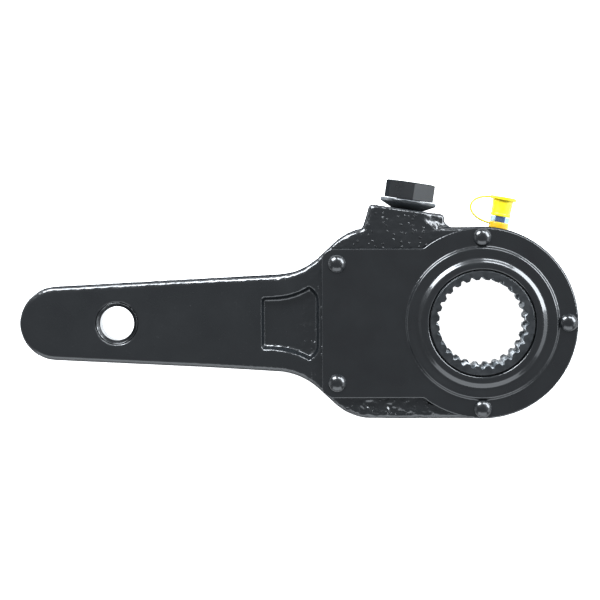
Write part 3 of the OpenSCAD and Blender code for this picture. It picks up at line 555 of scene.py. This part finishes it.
# %% [markdown]
# ## The casting's lumps
# Larger lumps change the outline, so they are real geometry: each point moves in or out by a few tenths of a
# millimetre at most. A displace modifier would need a texture block. Noise from Blender's own library does it in a few
# lines, and it has no chance in it, so each run is the same. The strip below the cover came out rougher, with ridges
# of up to almost a millimetre. No point leaves the CAD model's box, so the part keeps its size.

# %% Cast skin
LUMP_SIZE, LUMP_DEPTH = 3.2 * MM, 0.2 * MM
STRIP_LEFT, STRIP_RIGHT, STRIP_TOP, STRIP_FOOT = -57 * MM, -18 * MM, -31.2 * MM, -38.2 * MM
STRIP_FACES = 0.9
RIDGE_SIZE, RIDGE_FADE = 4 * MM, 1.5 * MM
RIDGE_HEIGHT, RIDGE_LEVEL = 4, 1.2
# Both patterns add octaves, each half as large as the one before and weaker by its fall.
HALVING = 2.0
LUMP_FALL, LUMP_OCTAVES = 0.6, 3
RIDGE_FALL, RIDGE_OCTAVES, RIDGE_OFFSET, RIDGE_GAIN = 0.9, 4, 1.0, 2.0
swell = np.zeros(count)
for i in np.nonzero(outside)[0]:
    spot = Vector(points[i])
    swell[i] = noise.fractal(spot / LUMP_SIZE, LUMP_FALL, HALVING, LUMP_OCTAVES)
    inset = min(points[i, 0] - STRIP_LEFT, STRIP_RIGHT - points[i, 0],
                STRIP_TOP - points[i, 1], points[i, 1] - STRIP_FOOT)
    if inset > 0 and abs(normals[i, 2]) > STRIP_FACES:
        ridge = noise.ridged_multi_fractal(spot / RIDGE_SIZE, RIDGE_FALL, HALVING, RIDGE_OCTAVES, RIDGE_OFFSET,
                                           RIDGE_GAIN)
        swell[i] += RIDGE_HEIGHT * (ridge - RIDGE_LEVEL) * min(1, inset / RIDGE_FADE)
points += normals * (LUMP_DEPTH * lumpy * swell)[:, None]
points = np.clip(points, np.array(cad_box[0]), np.array(cad_box[1]))
shape.vertices.foreach_set("co", points.ravel())
shape.update()
shape.materials.clear()
shape.materials.append(enamel_cast)
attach(cast_body, "adjuster_body")
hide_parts("housing")
print("lumps up to", round(float(np.abs(LUMP_DEPTH * lumpy * swell).max()) / MM, 2), "mm")

# %% [markdown]
# ## The pressed covers
# A cover is 2.5 mm sheet, cut and pressed in one stroke: its cut edge is rolled over and its ring flows into the
# flat without a corner. The same rebuild does that with smaller voxels. The bore is then opened to its exact
# radius again, because the gear's hub runs in it with a small gap.

# %% Covers
COVER_VOXEL_MM, COVER_PASSES = 0.42, 3
HUB_CLEAR, BORE_ZONE = 22.12 * MM, 22.6 * MM
BORE_WALL = 0.3
for node in ("front_cover", "rear_cover"):
    cover = rebuilt(node, "pressed_" + node, COVER_VOXEL_MM, COVER_PASSES)
    for vertex in cover.data.vertices:
        reach = math.hypot(vertex.co.x, vertex.co.y)
        if HUB_CLEAR > reach or (reach < BORE_ZONE and abs(vertex.normal.z) < BORE_WALL):
            vertex.co.x *= HUB_CLEAR / reach
            vertex.co.y *= HUB_CLEAR / reach
    cover.data.update()
    cover.data.materials.clear()
    cover.data.materials.append(enamel_sheet)
    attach(cover, "adjuster_body")
    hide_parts(node)
    print(cover.name, "points:", len(cover.data.vertices))

# %% [markdown]
# ## Pieces that keep their CAD shape
# Rivets, gear, worm, shaft, hexagon, nipple and most small inside pieces have the right shape already, so they stay
# and only get a finish. A weld joins the split points that the file format leaves, a planar decimate turns each flat
# face back into one face, a narrow bevel breaks each edge so that it can catch the light, and weighted normals keep
# the flat faces flat. These are modifiers, so the CAD mesh itself isn't changed.

# %% Dress the CAD pieces
FLAT_ANGLE, EDGE_ANGLE = math.radians(0.5), math.radians(32)
EDGE_SEGMENTS = 3
# Each piece: its node, finish, slot and the width of its broken edges in millimetres.
DRESSED = (
    ("cover_rivets", enamel_sheet, "black_paint", 0.2),
    ("worm_shaft", enamel_sheet, "black_paint", 0.2),
    ("hex_head", enamel_sheet, "black_paint", 0.3),
    ("collar_sleeve", enamel_sheet, "black_paint", 0.15),
    ("clevis_bush", painted_bush, "bare_steel", 0.2),
    ("worm_gear", broached_hub, "gear_steel", 0.04),
    ("worm", gear_steel, "gear_steel", 0.15),
    ("upper_thrust_washer", turned_steel, "bare_steel", 0.2),
    ("lower_thrust_washer", turned_steel, "bare_steel", 0.2),
    ("spring_seat", turned_steel, "bare_steel", 0.15),
    ("nipple_ball", turned_steel, "bare_steel", 0.02),
    ("welch_plug", enamel_sheet, "bare_steel", 0.3),
    ("upper_shaft_bush", sintered_bronze, "bronze", 0.2),
    ("lower_shaft_bush", sintered_bronze, "bronze", 0.2),
    ("front_gear_seal", nitrile, "rubber", 0.2),
    ("rear_gear_seal", nitrile, "rubber", 0.2),
    ("shaft_seal", nitrile, "rubber", 0.02),
    ("grease_nipple", zinc_plate, "zinc", 0.15),
)
for node, finish, slot, edge_mm in DRESSED:
    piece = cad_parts[node]
    piece.data.materials.clear()
    piece.data.materials.append(finish)
    piece.modifiers.new("weld", "WELD").merge_threshold = WELD_GAP
    flats = piece.modifiers.new("whole_faces", "DECIMATE")
    flats.decimate_type = "DISSOLVE"
    flats.angle_limit = FLAT_ANGLE
    edge = piece.modifiers.new("broken_edge", "BEVEL")
    edge.width = edge_mm * MM
    edge.segments = EDGE_SEGMENTS
    edge.limit_method = "ANGLE"
    edge.angle_limit = EDGE_ANGLE
    edge.use_clamp_overlap = True
    piece.modifiers.new("even_normals", "WEIGHTED_NORMAL").keep_sharp = False
print("dressed", len(DRESSED), "nodes")

# %% [markdown]
# ## Sections with rounded corners
# Some pieces are best drawn as half a section and spun round an axis, the way a lathe or a round mould makes them.
# The section is a short list of corners. No real corner is sharp, and a bevel after the spinning would have to find
# them again, so the corners are rounded first, while they are still points of a flat outline.

# %% Rounded sections
CORNER_STEPS = 4
LONGEST_ROUND = 0.45
ON_AXIS_MM = 0.01


def rounded(profile, radius):
    """The same outline with each corner off the axis rounded."""
    out = []
    for i, here in enumerate(profile):
        here = Vector(here)
        before = Vector(profile[i - 1]) - here
        after = Vector(profile[(i + 1) % len(profile)]) - here
        if here.x < ON_AXIS_MM:
            out.append(here)
            continue
        r = min(radius, before.length * LONGEST_ROUND, after.length * LONGEST_ROUND)
        start, end = here + before.normalized() * r, here + after.normalized() * r
        for k in range(CORNER_STEPS + 1):
            t = k / CORNER_STEPS
            out.append(start * (1 - t) ** 2 + here * 2 * t * (1 - t) + end * t * t)
    return out


square = [(1, 0), (2, 0), (2, 1), (1, 1)]
print("a square section gets", len(rounded(square, 0.1)), "points")

# %% [markdown]
# ## A lathe
# A screw modifier could spin a curve, but its axis has to be one of the object's own, and these pieces lean. So the
# section is spun in code, in a frame whose Z axis is the axis of the real piece. Points that meet on the axis are
# joined, which closes the form.

# %% Lathe
TURNS = 96


def axis_frame(tilt, middle):
    """A frame whose Z runs along an axis that leans this far from +Y towards +X."""
    up = Vector((math.sin(tilt), math.cos(tilt), 0))
    side = Vector((math.cos(tilt), -math.sin(tilt), 0))
    return Matrix.Translation(middle) @ Matrix((side, up.cross(side), up)).transposed().to_4x4()


def finished_piece(name, form, material):
    """A smooth piece from a bmesh, which is freed."""
    bmesh.ops.recalc_face_normals(form, faces=form.faces)
    mesh = bpy.data.meshes.new(name)
    form.to_mesh(mesh)
    form.free()
    mesh.shade_smooth()
    mesh.materials.append(material)
    made = bpy.data.objects.new(name, mesh)
    bpy.context.collection.objects.link(made)
    return made


def lathe(name, profile, material, place):
    """A closed turned piece in a frame; profile holds (radius, along) in millimetres."""
    form = bmesh.new()
    rings = []
    for k in range(TURNS):
        a = 2 * math.pi * k / TURNS
        rings.append([form.verts.new(place @ (Vector((r * math.cos(a), r * math.sin(a), s)) * MM)) for r, s in profile])
    for k in range(TURNS):
        here, there = rings[k], rings[(k + 1) % TURNS]
        for i in range(len(profile)):
            j = (i + 1) % len(profile)
            form.faces.new((here[i], there[i], there[j], here[j]))
    bmesh.ops.remove_doubles(form, verts=form.verts, dist=WELD_GAP)
    return finished_piece(name, form, material)


print("a turned piece has", TURNS, "sides")

# %% [markdown]
# ## The lock collar
# The collar under the hexagon is a turned, flat cone, and paint and wear have softened its rim. A bevel on the CAD
# piece would leave the cone's edge hard in places, so it is turned again here with rounded corners. It stays within
# the CAD cone, because the boss leaves just that much room when the collar is pressed down.

# %% Lock collar
SHAFT_R = 5 * MM
SLEEVE_R, COLLAR_BORE_R, COLLAR_R, COLLAR_TOP_R = 6.7, 6, 11.7, 11.3
CONE_RISE, COLLAR_HEIGHT, CHAMFER, HEXAGON_GAP = 2.5, 3.9, 0.3, 0.3
COLLAR_ROUND = 0.5
shaft_low, shaft_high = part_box("worm_shaft")
shaft_long = (shaft_high.y - shaft_low.y - 2 * SHAFT_R * math.sin(WORM_TILT)) / math.cos(WORM_TILT) / MM
collar_top = shaft_long / 2 - HEXAGON_GAP
collar_foot = collar_top - COLLAR_HEIGHT
collar_profile = [
    (COLLAR_BORE_R, collar_foot), (SLEEVE_R, collar_foot), (COLLAR_R, collar_foot + CONE_RISE),
    (COLLAR_R, collar_top - CHAMFER), (COLLAR_TOP_R, collar_top), (COLLAR_BORE_R, collar_top)]
# Black enamel drawn matt on the cone, in a dull mid grey that is painted reflection: it stands in for the light that
# the cone mirrors.
collar_enamel_painted_reflection = black_enamel("black_enamel_with_painted_reflection_grey", ("1c1e20", "2a2c2e"), peel_mm=0.012, skin_mm=0.006,
                              dry_paint_and_sheen="606365")
collar = lathe("turned_lock_collar", rounded(collar_profile, COLLAR_ROUND), collar_enamel_painted_reflection,
               axis_frame(WORM_TILT, (shaft_low + shaft_high) / 2))
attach(collar, "collar")
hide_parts("lock_collar")
print("collar", round(collar_foot, 1), "to", round(collar_top, 1), "mm from the shaft's middle")

# %% [markdown]
# ## The yellow cap and its ring
# The cap is one moulding of three forms: a cup with a wide rim, a ring that stays on the nipple, and a thin strap
# between them. They could be one mesh, but the cup moves and the ring doesn't, so they are separate pieces. Both are
# turned on the lathe, with the draft and the rounded rims that a mould needs. Where each starts and ends along the
# nipple is read from its CAD box.

# %% Cap and ring
NIPPLE_TILT = math.radians(10.5)
NIPPLE_AXIS = Vector((math.sin(NIPPLE_TILT), math.cos(NIPPLE_TILT), 0))
NIPPLE_SIDE = Vector((math.cos(NIPPLE_TILT), -math.sin(NIPPLE_TILT), 0))
RING_BORE_R, RING_R, CAP_R, RIM_R = 3.1, 4.15, 4.3, 5.5
RING_GAP = 0.05
RING_ROUND, CAP_ROUND = 0.5, 0.35
nipple_place = axis_frame(NIPPLE_TILT, Vector((0, 0, 0)))


def stations(node, foot_r, top_r):
    """Where a turned piece starts and ends along the nipple's axis, in millimetres, read from its box."""
    low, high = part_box(node)
    return ((low.y / MM + foot_r * NIPPLE_AXIS.x) / NIPPLE_AXIS.y,
            (high.y / MM - top_r * NIPPLE_AXIS.x) / NIPPLE_AXIS.y)


ring_foot, ring_top = stations("cap_ring", RING_R, RING_R)
cap_foot, cap_top = stations("grease_cap", CAP_R, RIM_R)
# The ring's polyethylene: the cap's yellow darkened to amber, which is painted shade for the shade on the ring low
# under the cap.
ring_yellow_painted_shade = yellow_polyethylene("moulded_yellow_polyethylene_painted_shade", ("cfa30c", "deb51c"))
ring_profile = [(RING_BORE_R, ring_foot + RING_GAP), (RING_R, ring_foot + RING_GAP), (RING_R, ring_top),
                (RING_BORE_R, ring_top)]
cap_ring = lathe("cap_ring_moulding", rounded(ring_profile, RING_ROUND), ring_yellow_painted_shade, nipple_place)
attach(cap_ring, "adjuster_body")
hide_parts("cap_ring")
cap_profile = [
    # The dished top, the rim and the neck under it.
    (0, cap_top - 0.35), (2.6, cap_top - 0.35), (3.1, cap_top), (RIM_R, cap_top), (RIM_R, cap_top - 1.3),
    (4.35, cap_top - 1.35), (CAP_R, cap_top - 1.8), (CAP_R, cap_top - 2.6),
    # The cup's drafted wall, its bead and its open foot.
    (4.05, cap_foot + 1.2), (4.25, cap_foot + 0.9), (4.25, cap_foot), (3.6, cap_foot),
    # The hollow that goes over the nipple.
    (3.55, cap_top - 1.6), (0, cap_top - 1.6)]
grease_cap = lathe("grease_cap_moulding", rounded(cap_profile, CAP_ROUND), cap_yellow, nipple_place)
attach(grease_cap, "cap")
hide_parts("grease_cap")
print("ring", round(ring_foot, 1), "to", round(ring_top, 1), "mm")
print("cap", round(cap_foot, 1), "to", round(cap_top, 1), "mm")

# %% [markdown]
# ## The strap's curve and section
# The strap is a flat band that leaves the ring, swings out to the side and comes back to the cap's rim. A curve object
# with a bevel could make it, but its ends would stay open. So it is swept in code: four control points give one
# smooth middle line, and a soft-cornered oblong gives the section.

# %% Strap curve
STRAP_HALF_W, STRAP_HALF_T = 1.5, 0.43
SECTION_SIDES, SECTION_POWER = 12, 0.5
BELOW_RING_TOP, BELOW_CAP_TOP = 0.9, 0.65
strap_low, strap_high = ring_top - BELOW_RING_TOP, cap_top - BELOW_CAP_TOP
# Each point is (across, along) the nipple in millimetres.
strap_points = [Vector((-3.65, strap_low)), Vector((-15.15, strap_low + 0.6)),
                Vector((-16.5, strap_high - 1.0)), Vector((-5.0, strap_high))]


def strap_curve(t):
    """A point of the strap's middle line, as (across, along) the nipple."""
    a, b, c, d = strap_points
    return a * (1 - t) ** 3 + b * 3 * t * (1 - t) ** 2 + c * 3 * t * t * (1 - t) + d * t ** 3


def soft_corner(value):
    """Pushes a circle's coordinate out towards a square with round corners."""
    return math.copysign(abs(value) ** SECTION_POWER, value)


angles = [2 * math.pi * k / SECTION_SIDES for k in range(SECTION_SIDES)]
section = [(soft_corner(math.cos(a)), soft_corner(math.sin(a))) for a in angles]
print("the strap reaches", round(-strap_curve(0.5).x, 1), "mm to the side")

# %% [markdown]
# ## The strap
# Rings of the section along the curve make the band, and two end faces close it. A strap isn't rigid: it stays with
# the ring at one end and goes with the cap at the other. So it isn't made to ride on one body.

# %% Strap
STRAP_STEPS = 48
SLOPE_STEP = 0.01
form = bmesh.new()
rings = []
for k in range(STRAP_STEPS + 1):
    t = k / STRAP_STEPS
    run = (strap_curve(min(1, t + SLOPE_STEP)) - strap_curve(max(0, t - SLOPE_STEP))).normalized()
    out = Vector((-run.y, run.x))
    ring = []
    for u, v in section:
        flat = strap_curve(t) + out * (STRAP_HALF_T * v)
        spot = NIPPLE_SIDE * flat.x + NIPPLE_AXIS * flat.y + Vector((0, 0, STRAP_HALF_W * u))
        ring.append(form.verts.new(spot * MM))
    rings.append(ring)
for here, there in zip(rings, rings[1:]):
    for i in range(SECTION_SIDES):
        j = (i + 1) % SECTION_SIDES
        form.faces.new((here[i], here[j], there[j], there[i]))
form.faces.new(rings[0])
form.faces.new(list(reversed(rings[-1])))
# The strap's polyethylene: so thin that it looks paler and a little duller than the cap.
strap_yellow = yellow_polyethylene("thin_yellow_polyethylene", ("d8bd1c", "e6cf3a"))
strap = finished_piece("cap_strap_moulding", form, strap_yellow)
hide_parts("cap_strap")
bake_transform(strap)
print("strap points:", len(strap.data.vertices))

# %% [markdown]
# ## The springs
# Two wire springs sit out of sight: one pushes the collar up and one closes the nipple's ball. One end of a spring
# stays on its seat and the other goes with the piece it pushes, and the CAD coil can't do both. Here each is a copy of
# its coil in spring steel, which takes the coil's place.

# %% Springs
for node, body, axis in (("lock_spring", "collar", WORM_AXIS), ("nipple_spring", "ball", NIPPLE_AXIS)):
    coil = bpy.data.objects.new(node + "_coil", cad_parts[node].data.copy())
    bpy.context.collection.objects.link(coil)
    coil.data.materials.clear()
    coil.data.materials.append(spring_steel)
    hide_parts(node)
    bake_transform(coil)
